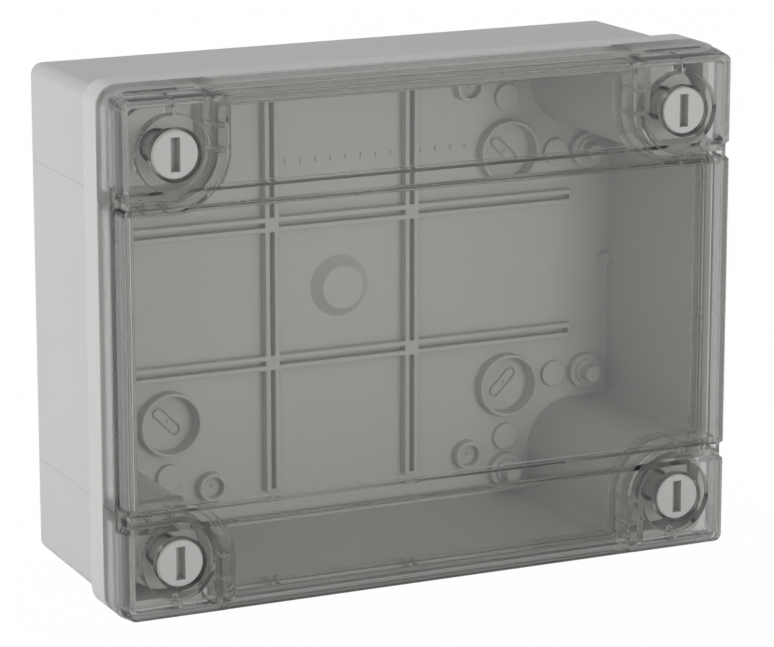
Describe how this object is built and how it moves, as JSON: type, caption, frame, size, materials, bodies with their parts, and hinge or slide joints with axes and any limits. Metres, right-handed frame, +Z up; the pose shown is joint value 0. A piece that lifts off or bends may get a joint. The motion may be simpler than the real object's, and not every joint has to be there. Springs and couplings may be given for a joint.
{
  "type": "wall-mounting junction enclosure",
  "caption": "Rectangular wall-mounting junction enclosure: moulded grey base, deep smoked clear cover with cross grooves, seal and quarter-turn corner screws.",
  "frame": {"origin": "middle of the underside of the whole enclosure, below the middle of its overall box", "axes": "+X to the right seen from the front, -Y out of the cover, +Y to the wall, +Z up"},
  "size_m": [0.253, 0.1006, 0.2],
  "materials": {
    "base_plastic": "light grey moulded thermoplastic, fine satin",
    "smoked_clear": "smoked clear polycarbonate, polished",
    "seal_rubber": "light grey foamed seal strip",
    "screw_plastic": "light grey moulded plastic"
  },
  "bodies": {
    "base": {"base": "base_plastic"},
    "cover": {"cover": "smoked_clear", "gasket": "seal_rubber"},
    "screw_upper_left": {"screw_upper_left": "screw_plastic"},
    "screw_upper_right": {"screw_upper_right": "screw_plastic"},
    "screw_lower_left": {"screw_lower_left": "screw_plastic"},
    "screw_lower_right": {"screw_lower_right": "screw_plastic"}
  },
  "joints": [
    {"name": "cover_lift", "type": "slide", "parent": "base", "child": "cover", "axis": [0, -1, 0], "range_m": [0, 0.07]},
    {"name": "screw_upper_left_turn", "type": "hinge", "parent": "cover", "child": "screw_upper_left", "pos_m": [-0.1045, -0.04405, 0.1765], "axis": [0, -1, 0], "range_deg": [0, 90]},
    {"name": "screw_upper_right_turn", "type": "hinge", "parent": "cover", "child": "screw_upper_right", "pos_m": [0.1045, -0.04405, 0.1765], "axis": [0, -1, 0], "range_deg": [0, 90]},
    {"name": "screw_lower_left_turn", "type": "hinge", "parent": "cover", "child": "screw_lower_left", "pos_m": [-0.1045, -0.04405, 0.0235], "axis": [0, -1, 0], "range_deg": [0, 90]},
    {"name": "screw_lower_right_turn", "type": "hinge", "parent": "cover", "child": "screw_lower_right", "pos_m": [0.1045, -0.04405, 0.0235], "axis": [0, -1, 0], "range_deg": [0, 90]}
  ]
}
